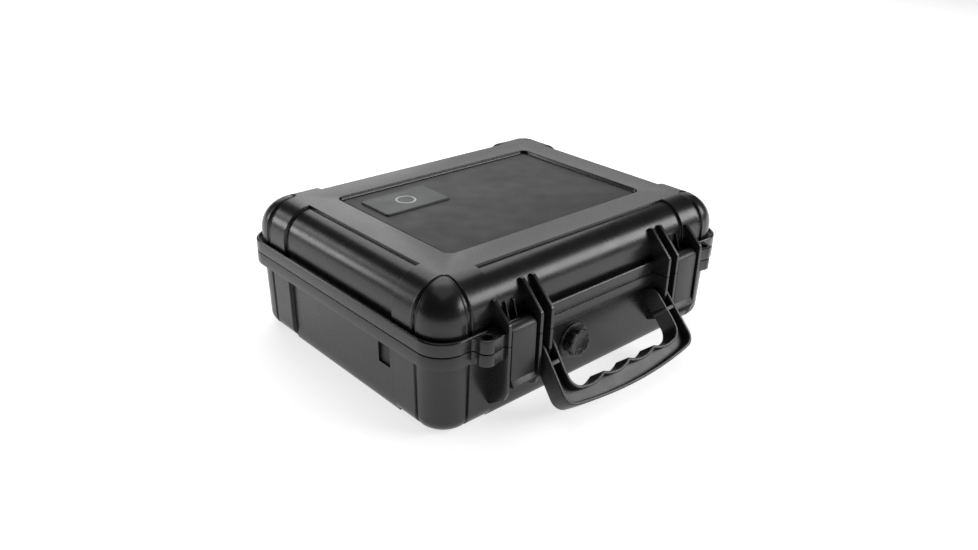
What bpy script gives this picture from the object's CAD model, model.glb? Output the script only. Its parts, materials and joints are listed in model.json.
import json
import math

import bmesh
import bpy
import numpy as np
from mathutils import Matrix, Vector


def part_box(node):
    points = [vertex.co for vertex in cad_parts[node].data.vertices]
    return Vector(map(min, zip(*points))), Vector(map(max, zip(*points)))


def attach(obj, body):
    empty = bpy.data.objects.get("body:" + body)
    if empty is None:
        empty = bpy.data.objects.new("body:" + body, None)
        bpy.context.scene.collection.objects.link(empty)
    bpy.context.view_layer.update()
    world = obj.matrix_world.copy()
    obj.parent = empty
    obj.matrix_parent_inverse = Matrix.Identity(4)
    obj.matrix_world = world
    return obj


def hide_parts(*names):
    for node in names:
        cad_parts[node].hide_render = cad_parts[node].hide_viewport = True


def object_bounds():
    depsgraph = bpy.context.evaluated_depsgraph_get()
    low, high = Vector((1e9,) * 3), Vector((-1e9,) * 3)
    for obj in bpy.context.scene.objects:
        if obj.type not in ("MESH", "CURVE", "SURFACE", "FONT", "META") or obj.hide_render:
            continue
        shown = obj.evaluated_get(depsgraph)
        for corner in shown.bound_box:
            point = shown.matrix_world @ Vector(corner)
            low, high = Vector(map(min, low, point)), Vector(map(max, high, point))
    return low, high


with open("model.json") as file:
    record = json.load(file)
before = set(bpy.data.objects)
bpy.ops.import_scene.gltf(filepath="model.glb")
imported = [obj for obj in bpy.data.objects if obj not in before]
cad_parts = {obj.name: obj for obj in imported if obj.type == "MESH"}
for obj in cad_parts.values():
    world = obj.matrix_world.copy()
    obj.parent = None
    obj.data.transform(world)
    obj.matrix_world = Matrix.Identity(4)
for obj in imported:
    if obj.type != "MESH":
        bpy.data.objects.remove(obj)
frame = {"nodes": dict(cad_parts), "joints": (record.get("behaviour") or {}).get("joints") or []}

cad_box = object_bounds()

# ---------------------------------------------------------------- sizes, in millimetres

MM = 0.001
JOINTS = {j["name"]: j for j in frame["joints"]}


def node_box(node):
    """Lowest and highest corner of a CAD node in millimetres."""
    low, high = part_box(node)
    return np.array(low) / MM, np.array(high) / MM


def pivot(name):
    """A joint's place in millimetres."""
    return np.array(JOINTS[name]["pos_m"]) / MM


LID_HIGH = node_box("lid_shell")[1]
GASKET_LOW, GASKET_HIGH = node_box("lid_gasket")
LATCH_LOW, LATCH_HIGH = node_box("latch_right")
BADGE_LOW, BADGE_HIGH = node_box("badge_plate")
RIM_X = LID_HIGH[0]
GASKET_IN = 3.5                                # seal, in from the rim
RIM_Y = GASKET_HIGH[1] + GASKET_IN
RIM_R = 17.5
CASE_H = LID_HIGH[2]
LID_Z = GASKET_LOW[2]
JOINT_GAP = 0.3                                # between the two rims
JOINT_Z = LID_Z - JOINT_GAP
LID_RIM_H, BASE_RIM_H = 8.7, 8.1
RIM_TOP = LID_Z + LID_RIM_H
RIM_FOOT = JOINT_Z - BASE_RIM_H
TOP_IN = 23.6
TOP_X, TOP_Y = RIM_X - TOP_IN, RIM_Y - TOP_IN  # the lid's flat top
PANEL_X, PANEL_Y = 86.0, 57.6                  # the sunk panel
PANEL_DEPTH = 2.0
PANEL_R = 5.5                                  # corner radius of the panel
EDGE_R = 21.5                                  # the lid's large rounded edge
DOME_IN = 3.0                                  # lid wall, in from the rim
SUNK = 1.7                                     # depth of the sunk zones
POST_IN = 3.6                                  # corner posts, in from the rim
WALL_IN = 6.2                                  # base walls between the posts
INSIDE_IN = 9.2                                # inner walls, in from the rim
LID_INSIDE_D, FOAM_D = 6.2, 7.3                # lid's inside and its foam, in from the outside
ZONE_SOFT, POST_SOFT = 0.7, 0.6                # width of the steps beside zones and posts
END_ZONE, FRONT_ZONE = 56.9, 84.1              # half lengths of the lid's sunk zones
POST_Y, POST_X = 56.5, 85.9                    # where the base's posts start
RECESS_Y, RECESS_Z = (-49.5, -38.5), (26.5, 40)   # strap recesses in the end walls
RECESS_DEPTH = 2.2
GROOVE_Y, GROOVE_X = 76.6, 104.6               # grooves round the corner pads
GROOVE_SOFT = 0.8                              # width of a groove's slopes
BEAD_H, BEAD_W, BEAD_OFF = 0.25, 0.4, 0.85     # raised edge beside a groove
CORNER_RUN = 3.4                               # from a corner's start to its groove
KX, KY = GROOVE_X - CORNER_RUN, GROOVE_Y - CORNER_RUN   # where every ring's corner starts
LATCH_X = (LATCH_LOW[0] + LATCH_HIGH[0]) / 2
LATCH_W = LATCH_HIGH[0] - LATCH_LOW[0]
LATCH_PIVOT = pivot("latch_right_pivot")
LATCH_R = 4.5
PIN_R = 1.5                                    # all six steel pins
LATCH_FOOT = LATCH_LOW[2]
FIN_T = 2.2
FIN_EDGE = 0.42                                # rounding of a fin's edges
FIN_Y = -111.4                                 # front of the fins
ELBOW_Z = 67.8                                 # where the lid's fins start to lean back
FIN_IN, FIN_OUT, FIN_HANDLE = LATCH_X - 12.4, LATCH_X + 12.2, 53.9
HANDLE_PIVOT = pivot("handle_pivot")
HANDLE_TILT = math.radians(41.5)
HANDLE_T = 13.0
BAND_T = 2.0                                   # thickness of the handle's two bands
HINGE = pivot("lid_hinge")
HINGE_X, HINGE_R = 62.0, 4.2
HINGE_HALF = 20.0                              # half the length of a hinge pin
VALVE = pivot("valve_turn")
BOSS_Y = -95.6                                 # front of the valve's boss
FRONTWARD = (0, -1, 0)
EYE = np.array([98.6, -105.0])                 # middle of the right padlock hole
EYE_R, EYE_HOLE = 5.8, 3.0


# ---------------------------------------------------------------- mesh building

class Shape:
    """Vertices and faces gathered from several closed solids, in millimetres."""

    def __init__(self):
        self.verts, self.faces = [], []

    def add(self, verts, faces):
        """Adds the vertices and faces of one more solid."""
        start = len(self.verts)
        self.verts += [tuple(v) for v in verts]
        self.faces += [tuple(start + i for i in f) for f in faces]
        return self

    def mirrored(self):
        """A copy across the YZ plane, facing outward."""
        out = Shape()
        out.verts = [(-x, y, z) for x, y, z in self.verts]
        out.faces = [tuple(reversed(f)) for f in self.faces]
        return out

    def both(self, other):
        """Adds another shape and its mirror image."""
        for s in (other, other.mirrored()):
            self.add(s.verts, s.faces)
        return self

    def mesh(self, name, material, sharp=38):
        """The mesh in metres, smooth except over its sharp edges."""
        mesh = bpy.data.meshes.new(name)
        mesh.from_pydata([(x * MM, y * MM, z * MM) for x, y, z in self.verts], [], self.faces)
        mesh.validate()
        bm = bmesh.new()
        bm.from_mesh(mesh)
        bmesh.ops.recalc_face_normals(bm, faces=bm.faces)
        bm.to_mesh(mesh)
        bm.free()
        mesh.shade_smooth()
        mesh.set_sharp_from_angle(angle=math.radians(sharp))
        mesh.materials.append(material)
        return mesh

    def build(self, name, material, body, *nodes, slot=None, sharp=38):
        """An object that rides on a body and stands for its CAD nodes."""
        obj = bpy.data.objects.new(name, self.mesh(name, material, sharp))
        bpy.context.scene.collection.objects.link(obj)
        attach(obj, body)
        if nodes:
            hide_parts(*nodes)
        return obj


def prism(points, place, depth, bevel=0.4, segments=2):
    """A closed outline pushed along its normal, with rounded edges.

    place(a, b, c) gives the x, y, z of outline point (a, b) at depth c.
    """
    bm = bmesh.new()
    rings = [[bm.verts.new(place(a, b, c)) for a, b in points] for c in (0.0, depth)]
    n = len(points)
    bm.faces.new(rings[0])
    bm.faces.new(list(reversed(rings[1])))
    for i in range(n):
        j = (i + 1) % n
        bm.faces.new([rings[0][j], rings[0][i], rings[1][i], rings[1][j]])
    bmesh.ops.recalc_face_normals(bm, faces=bm.faces)
    if bevel:
        edges = [e for e in bm.edges if e.calc_face_angle(0) > math.radians(24)]
        bmesh.ops.bevel(bm, geom=edges, offset=bevel, segments=segments, profile=0.5,
                        affect="EDGES", clamp_overlap=True)
    bm.verts.index_update()
    verts = [tuple(v.co) for v in bm.verts]
    faces = [tuple(v.index for v in f.verts) for f in bm.faces]
    bm.free()
    return verts, faces


def across(x, t, points, bevel=0.4, segments=2):
    """A plate of thickness t that stands across X, from an outline in (y, z)."""
    return prism(points, lambda a, b, c: (x - t / 2 + c, a, b), t, bevel, segments)


def upright(points, z, h, bevel=0.4):
    """An outline in (x, y) pushed up from z."""
    return prism(points, lambda a, b, c: (a, b, z + c), h, bevel)


def arc(cx, cy, r, start, end, n=10):
    """Points of an arc, angles in degrees."""
    return [(cx + r * math.cos(math.radians(a)), cy + r * math.sin(math.radians(a)))
            for a in np.linspace(start, end, n + 1)]


def rectangle(x0, x1, y0, y1):
    """The corners of a rectangle, from its far right one."""
    return [(x1, y1), (x0, y1), (x0, y0), (x1, y0)]


def round_corners(points, radii, n=5):
    """An outline with its corners rounded; one radius per point, or one for all."""
    count = len(points)
    if np.isscalar(radii):
        radii = [radii] * count
    out = []
    for i, r in enumerate(radii):
        p, a, b = (np.array(points[k % count], float) for k in (i, i - 1, i + 1))
        if r <= 0:
            out.append(tuple(p))
            continue
        ua, ub = (a - p) / np.linalg.norm(a - p), (b - p) / np.linalg.norm(b - p)
        half = math.acos(max(-1, min(1, float(ua @ ub)))) / 2
        cut = min(r / math.tan(half), 0.45 * np.linalg.norm(a - p), 0.45 * np.linalg.norm(b - p))
        pa, pb = p + ua * cut, p + ub * cut
        for t in np.linspace(0, 1, n + 1):
            out.append(tuple((1 - t) ** 2 * pa + 2 * t * (1 - t) * p + t ** 2 * pb))
    return out


def skin(rings, capped=True):
    """Quads between rings with the same number of points, with or without flat ends."""
    n, m = len(rings), len(rings[0])
    verts = np.concatenate(rings)
    faces = []
    for k in range(n - 1):
        for i in range(m):
            j = (i + 1) % m
            faces.append((k * m + i, k * m + j, (k + 1) * m + j, (k + 1) * m + i))
    if capped:
        faces.append(tuple(range(m - 1, -1, -1)))
        faces.append(tuple((n - 1) * m + i for i in range(m)))
    return verts, faces


def closed_ring(rings):
    """A ring-shaped solid, closed from its last ring to its first."""
    verts, faces = skin(rings, capped=False)
    n, m = len(rings), len(rings[0])
    faces += [((n - 1) * m + i, (n - 1) * m + (i + 1) % m, (i + 1) % m, i) for i in range(m)]
    return verts, faces


def lathe(profile, centre, axis, n=48, lobes=None):
    """Turns a profile of (radius, height) about an axis; lobes(angle, radius) scales the radius."""
    turn = Vector((0, 0, 1)).rotation_difference(Vector(axis)).to_matrix()
    rings = []
    for r, h in profile:
        ring = []
        for a in np.linspace(0, 2 * math.pi, n, endpoint=False):
            k = lobes(a, r) if lobes else 1.0
            p = turn @ Vector((r * k * math.cos(a), r * k * math.sin(a), h))
            ring.append([c + o for c, o in zip(p, centre)])
        rings.append(np.array(ring))
    return skin(rings)


def smooth(t):
    """0 to 1 with soft ends."""
    t = np.clip(t, 0, 1)
    return t * t * (3 - 2 * t)


# ---------------------------------------------------------------- rings round the case

def spaced(marks, fine, coarse, end):
    """Values from 0 to end: fine steps near each mark and coarse ones between."""
    out, v = [], 0.0
    while v < end - fine / 2:
        out.append(v)
        near = min(abs(v - m) for m in marks)
        v += fine if near < 2.0 else min(coarse, max(fine, near - 1.6))
    return np.array(out + [end]) / end


END_STEPS = spaced([END_ZONE], 0.2, 5.0, KY)
FRONT_STEPS = spaced([FRONT_ZONE, POST_X], 0.2, 5.0, KX)


def corner_steps():
    """Fractions along a corner: very fine near its ends, where the grooves run."""
    out, t = [], 0.0
    while t < 0.5:
        out.append(t)
        t += 0.006 if t < 0.19 else 0.018
    out = np.array(out + [0.5])
    return np.concatenate([out, 1 - out[-2::-1]])


CORNER_STEPS = corner_steps()


def quadrant(hx, hy, r, kx, ky):
    """Points and outward normals from (hx, 0) round one corner to (0, hy)."""
    pts = [(hx, ky * f, 1.0, 0.0) for f in END_STEPS[:-1]]
    cx, cy = hx - r, hy - r
    la, lb, lc = max(cy - ky, 0), r * math.pi / 2, max(cx - kx, 0)
    for s in CORNER_STEPS * (la + lb + lc):
        if s <= la:
            pts.append((hx, cy - la + s, 1.0, 0.0))
        elif s < la + lb:
            a = (s - la) / r
            pts.append((cx + r * math.cos(a), cy + r * math.sin(a), math.cos(a), math.sin(a)))
        else:
            pts.append((cx - (s - la - lb), hy, 0.0, 1.0))
    pts += [(kx * f, hy, 0.0, 1.0) for f in FRONT_STEPS[-2::-1]]
    return np.array(pts)


def loop(hx, hy, r, k=None):
    """A full ring: columns x, y, normal x, normal y."""
    kx, ky = k or (min(KX, hx - r), min(KY, hy - r))
    q = quadrant(hx, hy, r, kx, ky)
    q2 = (q * [-1, 1, -1, 1])[::-1]
    q3 = q * [-1, -1, -1, -1]
    q4 = (q * [1, -1, 1, -1])[::-1]
    return np.concatenate([q[:-1], q2[:-1], q3[:-1], q4[:-1]])


def level(ring, z):
    """A ring's x and y at one height."""
    return np.column_stack([ring[:, 0], ring[:, 1], np.full(len(ring), z)])


def plain(inset, r, z):
    """A ring set in from the rim's outline."""
    return level(loop(RIM_X - inset, RIM_Y - inset, r), z)


def zone(ring, half_end, half_front, soft):
    """1 in the middle stretch of each side and 0 outside it, with a step as wide as soft."""
    x, y, nx, ny = np.abs(ring).T
    on_end = nx > ny
    d = np.where(on_end, half_end - y, half_front - x)
    return smooth(d / soft + 0.5)


def groove(ring, width, depth, rise=0.0):
    """Depth of the two grooves that run up each corner pad; rise is the raised edge beside them."""
    x, y, nx, ny = np.abs(ring).T
    d = np.where(nx >= ny, np.abs(y - GROOVE_Y), np.abs(x - GROOVE_X))
    bead = rise * np.exp(-((d - width - BEAD_OFF) / BEAD_W) ** 2)
    return depth * smooth((width - d) / GROOVE_SOFT + 0.5) - bead


# ---------------------------------------------------------------- materials

def material(name, colour, rough, metallic=0.0, specular=0.5):
    """A principled material. The second value is its node tree, the third its shader."""
    mat = bpy.data.materials.new(name)
    mat.use_nodes = True
    tree = mat.node_tree
    shader = tree.nodes["Principled BSDF"]
    shader.inputs["Base Color"].default_value = (*colour, 1)
    shader.inputs["Roughness"].default_value = rough
    shader.inputs["Metallic"].default_value = metallic
    shader.inputs["Specular IOR Level"].default_value = specular
    return mat, tree, shader


def noise(tree, scale, detail=2.0, stretch=(1, 1, 1)):
    """Noise in object space; scale is in features per metre."""
    coord = tree.nodes.new("ShaderNodeTexCoord")
    mapping = tree.nodes.new("ShaderNodeMapping")
    mapping.inputs["Scale"].default_value = stretch
    tex = tree.nodes.new("ShaderNodeTexNoise")
    tex.inputs["Scale"].default_value = scale
    tex.inputs["Detail"].default_value = detail
    tree.links.new(coord.outputs["Object"], mapping.inputs["Vector"])
    tree.links.new(mapping.outputs["Vector"], tex.inputs["Vector"])
    return tex


def spread(tree, tex, low, high, socket):
    """Maps the middle of a texture's values to a range and plugs it in."""
    ramp = tree.nodes.new("ShaderNodeMapRange")
    ramp.inputs["From Min"].default_value = 0.3
    ramp.inputs["From Max"].default_value = 0.7
    ramp.inputs["To Min"].default_value = low
    ramp.inputs["To Max"].default_value = high
    tree.links.new(tex.outputs[0], ramp.inputs["Value"])
    tree.links.new(ramp.outputs["Result"], socket)


def tint(tree, tex, low, high, socket):
    """Mixes two colours by a texture."""
    ramp = tree.nodes.new("ShaderNodeValToRGB")
    ramp.color_ramp.elements[0].position = 0.35
    ramp.color_ramp.elements[0].color = (*low, 1)
    ramp.color_ramp.elements[1].position = 0.65
    ramp.color_ramp.elements[1].color = (*high, 1)
    tree.links.new(tex.outputs[0], ramp.inputs["Fac"])
    tree.links.new(ramp.outputs["Color"], socket)


def bump(tree, shader, tex, strength, distance):
    """Fine relief from a texture."""
    node = tree.nodes.new("ShaderNodeBump")
    node.inputs["Strength"].default_value = strength
    node.inputs["Distance"].default_value = distance
    tree.links.new(tex.outputs[0], node.inputs["Height"])
    tree.links.new(node.outputs["Normal"], shader.inputs["Normal"])


def moulded(name, dark, light, rough, grain=0.10, depth=0.00002, scale=2600):
    """Moulded plastic: slight unevenness in gloss and a fine surface grain."""
    mat, tree, shader = material(name, dark, rough[0])
    tint(tree, noise(tree, 45), dark, light, shader.inputs["Base Color"])
    spread(tree, noise(tree, 70, 4), rough[0], rough[1], shader.inputs["Roughness"])
    bump(tree, shader, noise(tree, scale, 3), grain, depth)
    return mat


CASE = moulded("case_black", (0.010, 0.010, 0.011), (0.013, 0.013, 0.014), (0.24, 0.30))
GRAIN = moulded("panel_grain", (0.012, 0.012, 0.012), (0.016, 0.016, 0.016), (0.52, 0.62),
                grain=0.55, depth=0.00006, scale=1500)
LATCH = moulded("latch_black", (0.012, 0.012, 0.013), (0.016, 0.016, 0.017), (0.36, 0.44))
VALVE_MAT = moulded("valve_black", (0.026, 0.026, 0.026), (0.032, 0.032, 0.032), (0.34, 0.42))
BADGE = moulded("badge_dark", (0.014, 0.020, 0.018), (0.018, 0.024, 0.022), (0.42, 0.48))
MARK = moulded("badge_pale", (0.50, 0.52, 0.52), (0.56, 0.58, 0.58), (0.40, 0.46))
RUBBER = moulded("seal_rubber", (0.022, 0.022, 0.023), (0.030, 0.030, 0.031), (0.62, 0.72),
                 grain=0.2)
MEMBRANE = moulded("membrane_white", (0.62, 0.62, 0.60), (0.70, 0.70, 0.68), (0.6, 0.7),
                   grain=0.4, scale=5000)


def drawn_steel():
    """Bright steel with fine lines along the pin."""
    mat, tree, shader = material("pin_steel", (0.55, 0.55, 0.56), 0.3, metallic=1.0)
    spread(tree, noise(tree, 900, 2, (0.04, 1, 1)), 0.22, 0.42, shader.inputs["Roughness"])
    bump(tree, shader, noise(tree, 2500, 2, (0.03, 1, 1)), 0.15, 0.00001)
    return mat


def cell_foam():
    """Charcoal foam with visible cells."""
    mat, tree, shader = material("foam_charcoal", (0.05, 0.05, 0.055), 0.95, specular=0.2)
    cells = tree.nodes.new("ShaderNodeTexVoronoi")
    cells.inputs["Scale"].default_value = 900
    coord = tree.nodes.new("ShaderNodeTexCoord")
    tree.links.new(coord.outputs["Object"], cells.inputs["Vector"])
    ramp = tree.nodes.new("ShaderNodeValToRGB")
    ramp.color_ramp.elements[0].position = 0.25
    ramp.color_ramp.elements[0].color = (0.075, 0.075, 0.080, 1)
    ramp.color_ramp.elements[1].position = 0.75
    ramp.color_ramp.elements[1].color = (0.022, 0.022, 0.024, 1)
    tree.links.new(cells.outputs["Distance"], ramp.inputs["Fac"])
    tree.links.new(ramp.outputs["Color"], shader.inputs["Base Color"])
    shader.inputs["Sheen Weight"].default_value = 0.25
    shader.inputs["Sheen Roughness"].default_value = 0.6
    bump(tree, shader, cells, 0.6, 0.0004)
    return mat


STEEL = drawn_steel()
FOAM = cell_foam()


# ---------------------------------------------------------------- lid shell

def dome_ring(theta, d=0.0, detail=True):
    """Ring of the lid's rounded edge, d in from its outside.

    theta runs from the wall (0) to the flat top (90).
    """
    c, s = math.cos(math.radians(theta)), math.sin(math.radians(theta))
    reach = EDGE_R - DOME_IN + 2.1 - d
    hx, hy = TOP_X + reach * c, TOP_Y + reach * c
    ring = loop(hx, hy, 3 + (RIM_R - 3 - d) * c)
    z = CASE_H - EDGE_R + (EDGE_R - d) * s
    push = np.zeros(len(ring))
    if detail:
        if theta < 89:
            push += SUNK * zone(ring, END_ZONE, FRONT_ZONE, ZONE_SOFT)
        if theta < 89.5:
            push += groove(ring, 1.2 - 0.35 * s, 0.5 + 0.8 * c ** 0.5, BEAD_H * c)
    pts = level(ring, z)
    pts[:, 0] -= push * ring[:, 2] * c
    pts[:, 1] -= push * ring[:, 3] * c
    pts[:, 2] -= push * s
    return pts


def wall_ring(z):
    """Ring of the lid's upright wall, with the sunk zones and grooves in it."""
    ring = loop(RIM_X - DOME_IN, RIM_Y - DOME_IN, RIM_R)
    push = SUNK * zone(ring, END_ZONE, FRONT_ZONE, ZONE_SOFT) + groove(ring, 1.2, 1.3, BEAD_H)
    pts = level(ring, z)
    pts[:, 0] -= push * ring[:, 2]
    pts[:, 1] -= push * ring[:, 3]
    return pts


def lid_shell():
    """The lid's hollow moulding and all that stands on it."""
    rings = []
    # panel floor, its shallow moat, its wall and the rounded edge of the frame
    bottom = CASE_H - PANEL_DEPTH
    for grow, z in ((-3.4, bottom), (-3.0, bottom - 0.1), (-2.7, bottom - 0.45), (-0.9, bottom - 0.5),
                    (-0.45, bottom - 0.35), (-0.25, bottom), (0.0, CASE_H - 0.45), (0.1, CASE_H - 0.2),
                    (0.3, CASE_H - 0.06), (0.55, CASE_H)):
        ring = loop(PANEL_X + grow, PANEL_Y + grow, max(PANEL_R + grow, 1.5), (PANEL_X - 8, PANEL_Y - 8))
        rings.append(level(ring, z))
    # flat frame, then the rounded edge down to the wall
    for inset in (0.5, 0.1):
        rings.append(level(loop(TOP_X - inset, TOP_Y - inset, 3), CASE_H))
    for theta in (90, 89.4, 88.4, 86.5, 84, 81, *np.linspace(78, 6, 25), 3, 0):
        rings.append(dome_ring(theta))
    for z in (CASE_H - EDGE_R - 1, RIM_TOP + 2, RIM_TOP + 0.2, RIM_TOP - 2.0, RIM_TOP - 2.8):
        rings.append(wall_ring(z))
    # gutter, lip and rim
    for inset, drop in ((DOME_IN - 0.5, 3.1), (DOME_IN - 1.3, 3.0), (DOME_IN - 1.6, 2.6),
                        (1.35, 0.5), (1.28, 0.2), (1.1, 0.03), (0.85, 0.0), (0.68, 0.06),
                        (0.12, 0.76), (0.03, 0.95), (0.0, 1.2)):
        rings.append(plain(inset, RIM_R, RIM_TOP - drop))
    for inset, rise in ((0.0, 0.7), (0.12, 0.3), (0.45, 0.0)):
        rings.append(plain(inset, RIM_R, LID_Z + rise))
    # underside with the seal's groove
    for inset, rise in ((3.2, 0.0), (3.4, 0.15), (3.45, 3.3), (6.65, 3.3), (6.7, 0.15), (6.9, 0.0),
                        (8.9, 0.0), (INSIDE_IN, 0.3)):
        rings.append(plain(inset, max(RIM_R - inset, 3), LID_Z + rise))
    # inside
    for z in (RIM_TOP, CASE_H - EDGE_R):
        rings.append(plain(INSIDE_IN, RIM_R - 3, z))
    for theta in np.linspace(0, 80, 9):
        rings.append(dome_ring(theta, LID_INSIDE_D, detail=False))
    ceiling = CASE_H - 5.2
    rings.append(level(loop(TOP_X - 2, TOP_Y - 2, 3), ceiling))
    rings.append(level(loop(TOP_X - 12, TOP_Y - 12, 3, (TOP_X - 18, TOP_Y - 18)), ceiling))
    s = Shape().add(*skin(rings))

    # fins: plates that stand across X, with rounded front edges
    for x, top_y, top_z in ((FIN_HANDLE, -94.9, 83.6), (FIN_IN, -94.9, 83.6), (FIN_OUT, -98.2, 78.8)):
        outline = [(-89.5, top_z - 4), (top_y + 2.5, top_z - 0.3), (top_y, top_z), (FIN_Y, ELBOW_Z),
                   (FIN_Y, LID_Z + 0.1), (-97, LID_Z + 0.1), (-94, ELBOW_Z)]
        outline = round_corners(outline, [0, 1, 2.2, 3, 0.2, 0, 0])
        s.both(Shape().add(*across(x, FIN_T, outline, FIN_EDGE, 3)))
    # ribs above each latch
    rib = round_corners([(-95, 74.6), (-97.4, 74.2), (-101.2, 63.2), (-95, 63.2)], [0, 0.8, 0.5, 0])
    for x in (LATCH_X - 3.1, LATCH_X + 3.1):
        s.both(Shape().add(*across(x, 1.0, rib, 0.35, 3)))
    # padlock tabs
    s.both(eye_tab(LID_Z + 0.02, RIM_TOP - LID_Z - 0.7))
    # hinge knuckles, reaching from the rim
    knuckle = [(RIM_Y - 3, LID_Z), (HINGE[1] - 4.1, LID_Z),
               *arc(HINGE[1], HINGE[2], HINGE_R, 190, 450, 24),
               (RIM_Y + 1.5, LID_Z + 5.6), (RIM_Y - 3, RIM_TOP - 0.6)]
    s.both(Shape().add(*across(HINGE_X, 15.7, knuckle, 0.5)))
    return s


def eye_tab(z, h):
    """Padlock tab in plan, with its hole, rounded over."""
    outer = [(FIN_OUT, -99.9), (EYE[0] + 8.5, -99.9), (EYE[0] + 6.4, -101.6),
             *arc(EYE[0], EYE[1], EYE_R, 8, -112, 18), (FIN_OUT + 4, EYE[1] - EYE_R + 1.4),
             (FIN_OUT, EYE[1] - EYE_R + 1.2)]
    return ringed_plate(outer, EYE, EYE_HOLE, z, h)


def ringed_plate(outer, centre, hole, z, h, bevel=0.5):
    """A plate in plan with one round hole, made of quads between the outline and the hole."""
    n = 72
    pts = np.array(outer, float)
    closed = np.vstack([pts, pts[:1]])
    # how far the outline is from the hole's centre in each direction
    out = []
    for k in range(n):
        a = 2 * math.pi * k / n
        d = np.array([math.cos(a), math.sin(a)])
        best = None
        for p, q in zip(closed[:-1], closed[1:]):
            e = q - p
            det = d[0] * -e[1] + d[1] * e[0]
            if abs(det) < 1e-9:
                continue
            w = p - centre
            t = (w[0] * -e[1] + w[1] * e[0]) / det
            u = (d[0] * w[1] - d[1] * w[0]) / det
            if t > 0 and -1e-6 <= u <= 1 + 1e-6 and (best is None or t > best):
                best = t
        out.append(best)
    out = np.array(out)
    ang = np.linspace(0, 2 * math.pi, n, endpoint=False)
    unit = np.column_stack([np.cos(ang), np.sin(ang)])
    soft, top = bevel * 0.3, z + h
    rings = []
    for r, height in ((hole, z + bevel), (hole + soft, z + soft), (hole + bevel, z),
                      (out - bevel, z), (out - soft, z + soft), (out, z + bevel),
                      (out, top - bevel), (out - soft, top - soft), (out - bevel, top),
                      (hole + bevel, top), (hole + soft, top - soft), (hole, top - bevel)):
        r = np.broadcast_to(r, (n,))
        rings.append(np.column_stack([centre + unit * r[:, None], np.full(n, height)]))
    return Shape().add(*closed_ring(rings))


# ---------------------------------------------------------------- base shell

FOOT_X, FOOT_Y = 121.2, 92.2                   # half size of the base between its posts
FOOT_R = 9.0                                   # rounding of the posts' feet
WALL_FOOT_R = 1.6                              # rounding of the walls' feet
POST_FOOT_X, POST_FOOT_Y = 124.6, 96.6         # half size over the posts, low down
POST_TOP_X, POST_TOP_Y = RIM_X - POST_IN, RIM_Y - POST_IN
WALL_TOP_X, WALL_TOP_Y = RIM_X - WALL_IN, RIM_Y - WALL_IN


def posts(ring):
    """1 on the corner posts, 0 on the walls between them."""
    return 1 - zone(ring, POST_Y, POST_X, POST_SOFT)


def base_ring(v, z_post, z_wall, grow_post=0.0, grow_wall=0.0):
    """A ring whose posts and walls have their own profiles. v is the height from 0 to 1."""
    flare = 1.2
    ax = POST_FOOT_X + (POST_TOP_X - POST_FOOT_X) * v + grow_post
    ay = POST_FOOT_Y + (POST_TOP_Y - POST_FOOT_Y) * v + grow_post
    bx = FOOT_X + flare + (WALL_TOP_X - FOOT_X - flare) * v + grow_wall
    by = FOOT_Y + flare + (WALL_TOP_Y - FOOT_Y - flare) * v + grow_wall
    r = max(16.5 + grow_post * 0.6, 4)
    a, b = loop(ax, ay, r), loop(bx, by, r)
    w = posts(a)
    xy = a[:, :2] * w[:, None] + b[:, :2] * (1 - w[:, None])
    g = groove(a, 1.1, 1.5) * w
    xy = xy - g[:, None] * a[:, 2:]
    z = z_post * w + z_wall * (1 - w)
    z = z + g * max(0.0, -grow_post / FOOT_R) * 0.9
    return np.column_stack([xy, z])


def base_skin():
    """The hollow moulding without what stands on it."""
    rings = []
    # cavity floor, inner wall and rim
    for grow, z in ((-16, 3.0), (-5.2, 3.0), (-3.6, 3.6), (-3.0, 5.2)):
        rings.append(level(loop(FOOT_X + grow, FOOT_Y + grow, 10, (KX - 14, KY - 14)), z))
    rings.append(plain(INSIDE_IN, 12, JOINT_Z - 0.5))
    rings.append(plain(8.8, 12.4, JOINT_Z))
    for inset, drop in ((0.18, 0.0), (0.05, 0.1), (0.0, 0.25)):
        rings.append(plain(inset, RIM_R, JOINT_Z - drop))
    for inset, rise in ((0.0, 0.7), (0.12, 0.25), (0.5, 0.0), (3.2, 0.0)):
        rings.append(plain(inset, RIM_R, RIM_FOOT + rise))
    # posts and walls, down to the rounded foot
    rings.append(base_ring(0.83, RIM_FOOT, RIM_FOOT))
    for z in (RIM_FOOT - 0.5, 38, 30, 22, 14, 10):
        rings.append(base_ring(z / JOINT_Z, z, z))
    for a in np.linspace(0, 90, 13):
        c, s = math.cos(math.radians(a)), math.sin(math.radians(a))
        z = FOOT_R - FOOT_R * s
        z_wall = z if a < 60 else max(WALL_FOOT_R - WALL_FOOT_R * (s - 0.866) / 0.134, 0)
        rings.append(base_ring(FOOT_R / JOINT_Z, z, z_wall, -FOOT_R * (1 - c), -WALL_FOOT_R * (1 - c)))
    rings.append(level(loop(FOOT_X - 10, FOOT_Y - 10, 8, (KX - 14, KY - 14)), 0.0))
    return Shape().add(*skin(rings))


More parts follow.
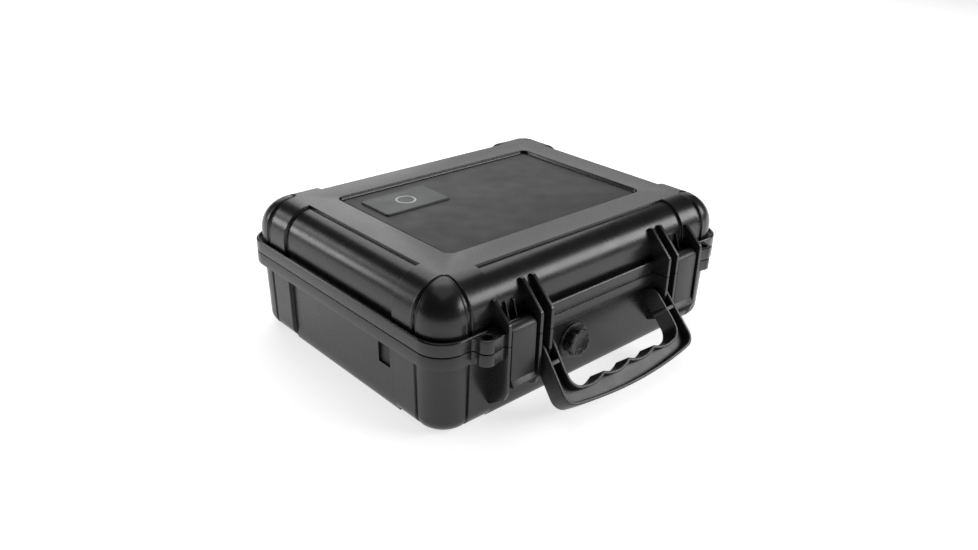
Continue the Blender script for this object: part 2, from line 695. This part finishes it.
def base_parts():
    """Fins, bosses, catches, padlock tabs, hinge ears and the valve's boss."""
    s = Shape()
    top = JOINT_Z - 0.02
    fin_top = [(-96, top), (FIN_Y, top)]
    at_handle = [(-93, 46), *fin_top, (FIN_Y, 41.5), (-107.4, 31), (-101.5, 29.6), (-93, 24)]
    inner = [(-93, 46), *fin_top, (FIN_Y, 28), (-109.4, 21.6), (-93, 13.5)]
    outer = [(-90, 46), *fin_top, (FIN_Y, 25), (-109.4, 19.6), (-99, 12.2), (-90, 8.5)]
    for x, outline in ((FIN_HANDLE, at_handle), (FIN_IN, inner), (FIN_OUT, outer)):
        radii = [0, 0, 0.2, 3, 2.5] + [0] * (len(outline) - 5)
        s.both(Shape().add(*across(x, FIN_T, round_corners(outline, radii), FIN_EDGE, 3)))
    # bosses of the handle, catches of the latches
    boss = [(0.01, 0), (3.3, 0), (3.6, 0.3), (3.6, 4.8), (3.3, 5.1), (0.01, 5.1)]
    s.both(Shape().add(*lathe(boss, (50.5, *HANDLE_PIVOT[1:]), (1, 0, 0), 36)))
    catch = [(-94, 49.5), (-103.8, 49.5), (-104.6, 48.7), (-104.6, 44.4), (-103.9, 43.6), (-94, 43.6)]
    s.both(Shape().add(*across(LATCH_X, 12.4, catch, 0.4)))
    # padlock tabs, hinge ears, the valve's boss
    s.both(eye_tab(RIM_FOOT + 0.3, JOINT_Z - RIM_FOOT - 0.32))
    ear = [(RIM_Y - 3, JOINT_Z), *arc(HINGE[1], HINGE[2], HINGE_R, 180, -90, 24),
           (RIM_Y + 1.5, JOINT_Z - 6.4), (RIM_Y - 3, JOINT_Z - 8)]
    for side in (-1, 1):
        s.both(Shape().add(*across(HINGE_X + side * 14.4, 11.2, ear, 0.5)))
    valve_boss = [(4.05, -4), (4.05, 0), (11.2, 0), (11.8, -0.25), (12, -0.8), (12, -4)]
    return s.add(*lathe(valve_boss, (VALVE[0], BOSS_Y, VALVE[2]), FRONTWARD, 72))


# ---------------------------------------------------------------- latches

def latch():
    """Latch with a barrel, a face plate, side walls, a bottom lip and the hook behind it."""
    s = Shape()
    x, (py, pz) = LATCH_X, LATCH_PIVOT[1:]
    face, foot = py - LATCH_R, LATCH_FOOT
    plate = [*arc(py, pz, LATCH_R, -20, 180, 22), (face, foot + 4.2), (face - 2.2, foot + 1.5),
             (face - 2.4, foot + 1.1), (face - 2.4, foot + 0.4), (face - 2.0, foot), (face + 2.6, foot),
             (face + 2.6, pz - 5.5)]
    s.add(*across(x, LATCH_W, plate, 0.45, 3))
    side = [(py - 3, pz - 4), (py - 3, foot + 2), (py - 1, foot + 2), (py + 2, foot + 8),
            (py + 2, pz - 6), (py + 1, pz - 4)]
    for k in (-1, 1):
        s.add(*across(x + k * (LATCH_W / 2 - 1.02), 2, round_corners(side, 1.2), 0.3))
    hook = [(py - 3, 43.3), (py + 2.8, 43.3), (py + 3.2, 42.9), (py + 3.2, 42.0), (py + 2.7, 41.5),
            (py - 3, 38.6)]
    s.add(*across(x, LATCH_W - 3, hook, 0.25))
    rib = [(py - 3, pz - 5), (py + 0.4, pz - 5), (py - 1.4, foot + 4), (py - 3, foot + 4)]
    for k in (-1, 1):
        s.add(*across(x + k * 3.2, 1.4, rib, 0.25))
    return s


# ---------------------------------------------------------------- handle

def hung(x, u, v):
    """Handle coordinates (across, down the arm, through) to the case's frame."""
    c, s = math.cos(HANDLE_TILT), math.sin(HANDLE_TILT)
    return (x, HANDLE_PIVOT[1] - u * s + v * c, HANDLE_PIVOT[2] - u * c - v * s)


def path_normals(path):
    """Unit normals of a path in a plane."""
    d = np.gradient(path, axis=0)
    d /= np.linalg.norm(d, axis=1)[:, None]
    return np.column_stack([-d[:, 1], d[:, 0]])


def band(path, thick, bevel=0.55):
    """A strap of the handle's full width along a path in (x, u), round at the pivot end."""
    rings = []
    for (x, u), (nx, nu) in zip(path, path_normals(path)):
        h = HANDLE_T / 2
        if u < 0:
            h = math.sqrt(max(h * h - u * u, 0.3))
        # four rounded corners
        ring = []
        for sa, sb, start in ((1, 1, 0), (-1, 1, 90), (-1, -1, 180), (1, -1, 270)):
            for a in (0, 30, 60, 90):
                b = min(bevel, h * 0.6)
                p = sa * (thick / 2 - b) + b * math.cos(math.radians(start + a))
                v = sb * (h - b) + b * math.sin(math.radians(start + a))
                ring.append(hung(x + p * nx, u + p * nu, v))
        rings.append(np.array(ring))
    return skin(rings)


ARM_END = (-6.5, -6.2, -5.5, -4.5, -3, -1.5, 0)  # close steps where an arm rounds over its pivot


def outer_path(d):
    """Centre line of the outer band, d in from the outside."""
    arm = [(58.2 - d + 0.06 * min(u, 29.8), u) for u in (*ARM_END, 6, 12, 18, 24)]
    turn = arc(51.5, 29.8, 8.5 - d, 0, 78, 13)
    bow = [(x, 42.5 - 4.5 * (x / 55) ** 2 - d) for x in np.arange(48, -0.1, -4)]
    half = arm + turn + bow
    return np.array(half + [(-x, u) for x, u in half[-2::-1]])


def scallop(x):
    """How far down the arm the finger opening reaches at x."""
    finger = abs(x) / 23.8 % 1.0
    return 27.2 + 3 * math.sin(math.pi * finger) ** 0.8


def inner_path(d):
    """Centre line of the inner band, d away from the finger opening."""
    arm = [(47.9 + d + 0.1 * min(max(u, 0), 16), u) for u in (*ARM_END, 4, 8, 12, 16)]
    turn = arc(41.5, 21.5, 8 + d, 4, 70, 11)
    row = [(x, scallop(x) + d) for x in np.arange(40.5, -0.01, -0.9)]
    half = arm + turn + row
    return np.array(half + [(-x, u) for x, u in half[-2::-1]])


def sampled(path, n):
    """n evenly spaced points on the part of a path that lies below the forked arms."""
    path = path[path[:, 1] > 10.5]
    run = np.concatenate([[0], np.cumsum(np.linalg.norm(np.diff(path, axis=0), axis=1))])
    t = np.linspace(0, run[-1], n)
    return np.column_stack([np.interp(t, run, path[:, 0]), np.interp(t, run, path[:, 1])])


def handle():
    """Two bands with a thin web between them, and a crossbar in each forked arm."""
    outer, inner = outer_path(BAND_T / 2), inner_path(BAND_T / 2)
    s = Shape().add(*band(outer, BAND_T)).add(*band(inner, BAND_T))
    half_web = 1.0
    rings = []
    for a, b in zip(sampled(outer, 150), sampled(inner, 150)):
        rings.append(np.array([hung(*a, half_web), hung(*b, half_web),
                               hung(*b, -half_web), hung(*a, -half_web)]))
    s.add(*skin(rings))
    for k in (-1, 1):
        bar = [(k * 48.2, 9.2), (k * 58.4, 9.2), (k * 58.6, 12.0), (k * 48.4, 12.0)]
        s.add(*prism(bar, lambda p, q, c: hung(p, q, -6.1 + c), 12.2, 0.5, 3))
    return s


# ---------------------------------------------------------------- small pieces

def gasket():
    """Seal in the lid's rim, with a rounded lower edge."""
    rings = []
    for inset, rise in ((3.55, 3.2), (GASKET_IN, 1.4), (3.9, 0.45), (4.6, 0.05), (5.05, 0.0),
                        (5.5, 0.05), (6.2, 0.45), (6.6, 1.4), (6.55, 3.2)):
        rings.append(plain(inset, RIM_R - inset, LID_Z + rise))
    return Shape().add(*closed_ring(rings))


def badge():
    """The lid's small plate, with a plain raised ring on it."""
    (x0, y0, z0), (x1, y1, z1) = BADGE_LOW, BADGE_HIGH
    cx, cy = (x0 + x1) / 2, (y0 + y1) / 2
    rings = []
    for inset, z in ((0, z0), (0, z1 - 0.7), (0.2, z1 - 0.3), (0.7, z1 - 0.03), (1.3, z1),
                     (1.9, z1 - 0.06), (2.4, z1 - 0.1)):
        corners = rectangle(x0 + inset, x1 - inset, y0 + inset, y1 - inset)
        outline = round_corners(corners, max(2.5 - inset, 0.8), 8)
        rings.append(np.array([(x, y, z) for x, y in outline]))
    s = Shape().add(*skin(rings))
    ring = []
    for r, rise in ((5.6, -0.3), (5.6, -0.02), (5.8, 0.06), (6.8, 0.06), (7.0, -0.02), (7.0, -0.3)):
        z = z1 + rise
        ring.append(np.array([(cx + r * math.cos(a), cy + r * math.sin(a), z)
                              for a in np.linspace(0, 2 * math.pi, 96, endpoint=False)]))
    return s.add(*closed_ring(ring))


def closed_lathe(profile, centre, n):
    """A turned ring about the valve's axis with a hole through it."""
    rings = []
    for r, h in profile:
        rings.append(np.array([(centre[0] + r * math.cos(a), centre[1] - h, centre[2] + r * math.sin(a))
                               for a in np.linspace(0, 2 * math.pi, n, endpoint=False)]))
    return closed_ring(rings)


def lobed(a, r):
    """Eight rounded lobes round the knob's rim."""
    return 1 - (0.11 * (1 - abs(math.cos(4 * a))) if r > 6.5 else 0)


def knob():
    """The lobed knob with its dished face, its skirt and its stem."""
    profile = [(8.6, -0.1), (9.2, 0.1), (9.5, 0.6), (9.5, 2.2), (9.25, 2.75), (8.7, 3.0), (7.9, 3.0),
               (7.5, 2.95), (7.2, 2.7), (6.4, 2.55), (5.2, 2.5), (4.7, 2.3), (4.3, 1.95), (3.4, 1.8),
               (0.02, 1.75)]
    s = Shape().add(*lathe(profile, (VALVE[0], BOSS_Y - 2.7, VALVE[2]), FRONTWARD, 160, lobed))
    skirt = [(7.9, 0.0), (8.4, 0.0), (8.4, 2.2), (7.9, 2.2)]
    s.add(*closed_lathe(skirt, (VALVE[0], BOSS_Y - 0.6, VALVE[2]), 72))
    stem = [(0.02, 0), (1.3, 0), (1.6, 0.3), (1.6, 10.4), (0.02, 10.4)]
    return s.add(*lathe(stem, (VALVE[0], -88, VALVE[2]), FRONTWARD, 28))


def valve_tube():
    """The valve's flange and its hollow tube through the wall."""
    profile = [(2.2, 0.05), (2.2, 1.6), (6.9, 1.6), (7.4, 1.15), (7.4, 0.25), (6.9, 0.05), (3.9, 0.05),
               (3.9, -13.35), (3.6, -13.65), (2.2, -13.65)]
    return Shape().add(*closed_lathe(profile, (VALVE[0], BOSS_Y - 0.8, VALVE[2]), 64))


def pin(x0, x1, y, z):
    """A pin along X with chamfered ends."""
    r, chamfer, length = PIN_R, 0.35, x1 - x0
    profile = [(0.01, 0), (r - chamfer, 0), (r, chamfer), (r, length - chamfer), (r - chamfer, length),
               (0.01, length)]
    return Shape().add(*lathe(profile, (x0, y, z), (1, 0, 0), 32))


# ---------------------------------------------------------------- foam

def lid_foam():
    """Foam that fills the lid, with an egg-crate underside."""
    pitch, depth = 24, 7.0
    wavy_x, wavy_y, fade = 118.5, 89.5, 6       # half size of the waved part, and its soft edge
    base = loop(RIM_X - DOME_IN - FOAM_D, RIM_Y - DOME_IN - FOAM_D, RIM_R - 7)
    foot = node_box("lid_foam")[0][2]
    rings = []
    for f in np.linspace(0.015, 1.0, 66):
        x, y = base[:, 0] * f, base[:, 1] * f
        edge = smooth(np.minimum((wavy_x - np.abs(x)) / fade, (wavy_y - np.abs(y)) / fade))
        wave = 0.5 - 0.5 * np.cos(2 * math.pi * x / pitch) * np.cos(2 * math.pi * y / pitch)
        rings.append(np.column_stack([x, y, foot + 0.4 + depth * wave * edge]))
    rings.append(level(base, foot + 1.6))
    rings.append(level(base, CASE_H - EDGE_R))
    for theta in np.linspace(10, 80, 8):
        rings.append(dome_ring(theta, FOAM_D, detail=False))
    rings.append(level(loop(TOP_X - 5, TOP_Y - 5, 4, (TOP_X - 12, TOP_Y - 12)), CASE_H - FOAM_D))
    return Shape().add(*skin(rings))


def soft_edges(obj, width, segments=3):
    """Rounds every sharp edge of a piece of cut foam."""
    bm = bmesh.new()
    bm.from_mesh(obj.data)
    edges = [e for e in bm.edges if e.calc_face_angle(0) > math.radians(50)]
    bmesh.ops.bevel(bm, geom=edges, offset=width * MM, segments=segments, profile=0.5,
                    affect="EDGES", clamp_overlap=True)
    bm.to_mesh(obj.data)
    bm.free()
    obj.data.shade_smooth()
    obj.data.set_sharp_from_angle(angle=math.radians(60))


def cut_foam():
    """The foam block, and the four pockets and the notch behind the valve to cut from it."""
    low, high = node_box("base_foam_insert")
    slack = 0.4
    outline = rectangle(low[0] + slack, high[0] - slack, low[1] + slack, high[1] - slack)
    block = Shape().add(*upright(round_corners(outline, 15, 8), low[2] + 0.2, high[2] - low[2] - 0.3, 0))
    cuts = []
    pockets, pitch, half_wide = 4, 55, 24.2
    for i in range(pockets):
        cx = (i - (pockets - 1) / 2) * pitch
        pocket = rectangle(cx - half_wide, cx + half_wide, -70.2, 72.2)
        cuts.append(Shape().add(*upright(round_corners(pocket, 4.5, 5), low[2] + 8, 60, 0)))
    half_notch = 13.2
    notch = rectangle(VALVE[0] - half_notch, VALVE[0] + half_notch, -99, -79.2)
    cuts.append(Shape().add(*upright(notch, low[2] - 5, 80, 0)))
    return block, cuts


def foam_pad():
    """The thin pad on the base's floor."""
    low, high = node_box("base_foam_pad")
    rings = []
    for inset, z in ((3, low[2]), (1.0, low[2] + 0.2), (0.3, low[2] + 1.2), (0.4, high[2] - 1.4),
                     (1.2, high[2] - 0.3), (4, high[2]), (20, high[2])):
        rings.append(level(loop(high[0] - inset, high[1] - inset, 13, (KX - 20, KY - 20)), z))
    return Shape().add(*skin(rings))


# ---------------------------------------------------------------- cutting, joining and painting

def carve(obj, shapes):
    """Cuts shapes out of an object's mesh."""
    for k, shape in enumerate(shapes):
        mesh = bpy.data.meshes.new(f"cutter{k}")
        mesh.from_pydata([tuple(c * MM for c in v) for v in shape.verts], [], shape.faces)
        cutter = bpy.data.objects.new(f"cutter{k}", mesh)
        bpy.context.scene.collection.objects.link(cutter)
        mod = obj.modifiers.new("cut", "BOOLEAN")
        mod.object = cutter
        mod.solver = "EXACT"
        new = bpy.data.meshes.new_from_object(obj.evaluated_get(bpy.context.evaluated_depsgraph_get()))
        obj.modifiers.clear()
        obj.data = new
        bpy.data.objects.remove(cutter)


def join(obj, shape):
    """Adds closed solids to an object's mesh."""
    bm = bmesh.new()
    bm.from_mesh(obj.data)
    bm.from_mesh(shape.mesh("parts", obj.data.materials[0]))
    bm.to_mesh(obj.data)
    bm.free()


def paint(obj, material, chosen):
    """Gives the faces that chosen(middle in millimetres, normal) picks a second material."""
    obj.data.materials.append(material)
    for face in obj.data.polygons:
        if chosen(face.center / MM, face.normal):
            face.material_index = 1


def recess_cutters():
    """Blocks that cut the strap recesses."""
    (y0, y1), (z0, z1) = RECESS_Y, RECESS_Z
    outline = [(y0, z0), (y1, z0), (y1, z1), (y0, z1)]
    t = 8
    x = WALL_TOP_X - RECESS_DEPTH + t / 2
    return [Shape().add(*across(side * x, t, outline, 0)) for side in (-1, 1)]


def on_panel(at, normal):
    """True on the floor of the lid's sunk panel."""
    in_plan = abs(at.x) < PANEL_X and abs(at.y) < PANEL_Y
    return in_plan and normal.z > 0.9 and abs(at.z - (CASE_H - PANEL_DEPTH)) < 0.3


def in_recess(at, normal):
    """True on the floor of a strap recess."""
    in_outline = RECESS_Y[0] < at.y < RECESS_Y[1] and RECESS_Z[0] < at.z < RECESS_Z[1]
    return in_outline and WALL_TOP_X - 3.5 < abs(at.x) < WALL_TOP_X - 0.9 and abs(normal.x) > 0.9


def on_mark(at, normal):
    """True on the ring on the lid's small plate."""
    middle = Vector(((BADGE_LOW + BADGE_HIGH) / 2).tolist())
    return 5.5 < (at - middle).xy.length < 7.05 and at.z > middle.z


# ---------------------------------------------------------------- assembly

lid_obj = lid_shell().build("lid_shell_skin", CASE, "lid", "lid_shell", slot="case_plastic")
paint(lid_obj, GRAIN, on_panel)

base_obj = base_skin().build("base_shell_skin", CASE, "base", "base_shell", slot="case_plastic")
carve(base_obj, recess_cutters())
base_obj.data.set_sharp_from_angle(angle=math.radians(38))
paint(base_obj, GRAIN, in_recess)
join(base_obj, base_parts())

right_latch = latch()
right_latch.build("latch_right_skin", LATCH, "latch_right", "latch_right", slot="latch_plastic")
right_latch.mirrored().build("latch_left_skin", LATCH, "latch_left", "latch_left", slot="latch_plastic")
handle().build("handle_skin", LATCH, "handle", "handle", slot="latch_plastic")
gasket().build("gasket_skin", RUBBER, "lid", "lid_gasket", slot="seal_rubber")
plate_obj = badge().build("badge_skin", BADGE, "lid", "badge_plate", slot="badge_plastic", sharp=60)
paint(plate_obj, MARK, on_mark)
knob().build("knob_skin", VALVE_MAT, "valve", "valve_knob", slot="valve_plastic", sharp=50)

PINS = {"latch_pin": (LATCH_X - 13.2, LATCH_X + 13.0, *LATCH_PIVOT[1:], "lid"),
        "handle_pin": (48.2, 57.9, *HANDLE_PIVOT[1:], "handle"),
        "hinge_pin": (HINGE_X - HINGE_HALF, HINGE_X + HINGE_HALF, *HINGE[1:], "base")}
for side, sign in (("left", -1), ("right", 1)):
    for kind, (x0, x1, y, z, body) in PINS.items():
        ends = sorted((sign * x0, sign * x1))
        pin(*ends, y, z).build(f"{kind}_{side}_skin", STEEL, body, f"{kind}_{side}", slot="pin_steel")

valve_tube().build("valve_body_skin", VALVE_MAT, "base", "valve_body", slot="valve_plastic")

foam_block, foam_cuts = cut_foam()
insert = foam_block.build("foam_insert_soft", FOAM, "base", "base_foam_insert", slot="foam")
carve(insert, foam_cuts)
soft_edges(insert, 1.2)

pad = foam_pad().build("foam_pad_soft", FOAM, "base", "base_foam_pad", slot="foam")
crate = lid_foam().build("lid_foam_soft", FOAM, "lid", "lid_foam", slot="foam", sharp=70)

# four small hidden parts of the valve keep their CAD meshes
for node, mat in (("valve_body_seal", RUBBER), ("valve_knob_seal", RUBBER), ("valve_nut", VALVE_MAT),
                  ("valve_membrane", MEMBRANE)):
    mesh = frame["nodes"][node].data
    mesh.materials.clear()
    mesh.materials.append(mat)


# ---------------------------------------------------------------- floor, light, camera

floor_mesh = bpy.data.meshes.new("floor")
floor_half = 6
floor_corners = [(i * floor_half, j * floor_half, 0) for i, j in ((-1, -1), (1, -1), (1, 1), (-1, 1))]
floor_mesh.from_pydata(floor_corners, [], [(0, 1, 2, 3)])
floor = bpy.data.objects.new("floor", floor_mesh)
floor.location.z = float(cad_box[0][2]) - 0.0002   # just below the case
bpy.context.scene.collection.objects.link(floor)
floor_mat, _, floor_shader = material("floor_white", (0.86, 0.86, 0.86), 0.9)
floor_shader.inputs["Emission Color"].default_value = (1, 1, 1, 1)
floor_shader.inputs["Emission Strength"].default_value = 0.7
floor_mesh.materials.append(floor_mat)


def softbox(name, at, target, size, power):
    """A rectangular area light that faces a point."""
    data = bpy.data.lights.new(name, "AREA")
    data.shape = "RECTANGLE"
    data.size, data.size_y = size
    data.energy = power
    obj = bpy.data.objects.new(name, data)
    obj.location = at
    obj.rotation_euler = (Vector(target) - Vector(at)).to_track_quat("-Z", "Y").to_euler()
    bpy.context.scene.collection.objects.link(obj)


softbox("back_high", (0.58, 0.85, 1.28), (0, 0, 0.06), (1.4, 1.4), 11)
softbox("back_wide", (1.03, 1.32, 0.56), (0, 0, 0.08), (2.2, 0.6), 3.4)
softbox("back_side", (0.78, 1.48, 0.62), (0, 0, 0.08), (0.6, 0.6), 1.0)
softbox("back_left", (-0.95, 1.18, 0.38), (-0.13, 0, 0.07), (0.35, 0.28), 2.4)
softbox("back_left_high", (-0.79, 1.29, 0.81), (-0.13, 0, 0.07), (0.4, 0.3), 1.3)
softbox("front_right", (0.87, -0.93, 0.60), (0, 0, 0.06), (0.9, 0.46), 9.5)
softbox("top", (0.0, 0.0, 1.6), (0, 0, 0.0), (1.4, 1.4), 4)

bpy.context.scene.view_settings.view_transform = "Standard"

world = bpy.data.worlds.new("studio")
world.use_nodes = True
background = world.node_tree.nodes["Background"]
background.inputs["Color"].default_value = (0.5, 0.5, 0.5, 1)
background.inputs["Strength"].default_value = 0.08
bpy.context.scene.world = world

# the photo's camera
camera_at = (-0.38297, -0.40935, 0.29959)
yaw, tilt, roll = (math.radians(a) for a in (-43.07, 25.60, 1.84))
back = Vector((math.sin(yaw) * math.cos(tilt), -math.cos(yaw) * math.cos(tilt), math.sin(tilt)))
right = (-back).cross(Vector((0, 0, 1))).normalized()
up = right.cross(-back)
right, up = (right * math.cos(roll) + up * math.sin(roll),
             up * math.cos(roll) - right * math.sin(roll))
camera_data = bpy.data.cameras.new("camera")
camera_data.lens = 32.56
camera_data.sensor_width = 36
camera_data.clip_start = 0.01
camera = bpy.data.objects.new("camera", camera_data)
turned = Matrix((right, up, back)).transposed().to_4x4()
camera.matrix_world = Matrix.Translation(camera_at) @ turned
bpy.context.scene.collection.objects.link(camera)
bpy.context.scene.camera = camera
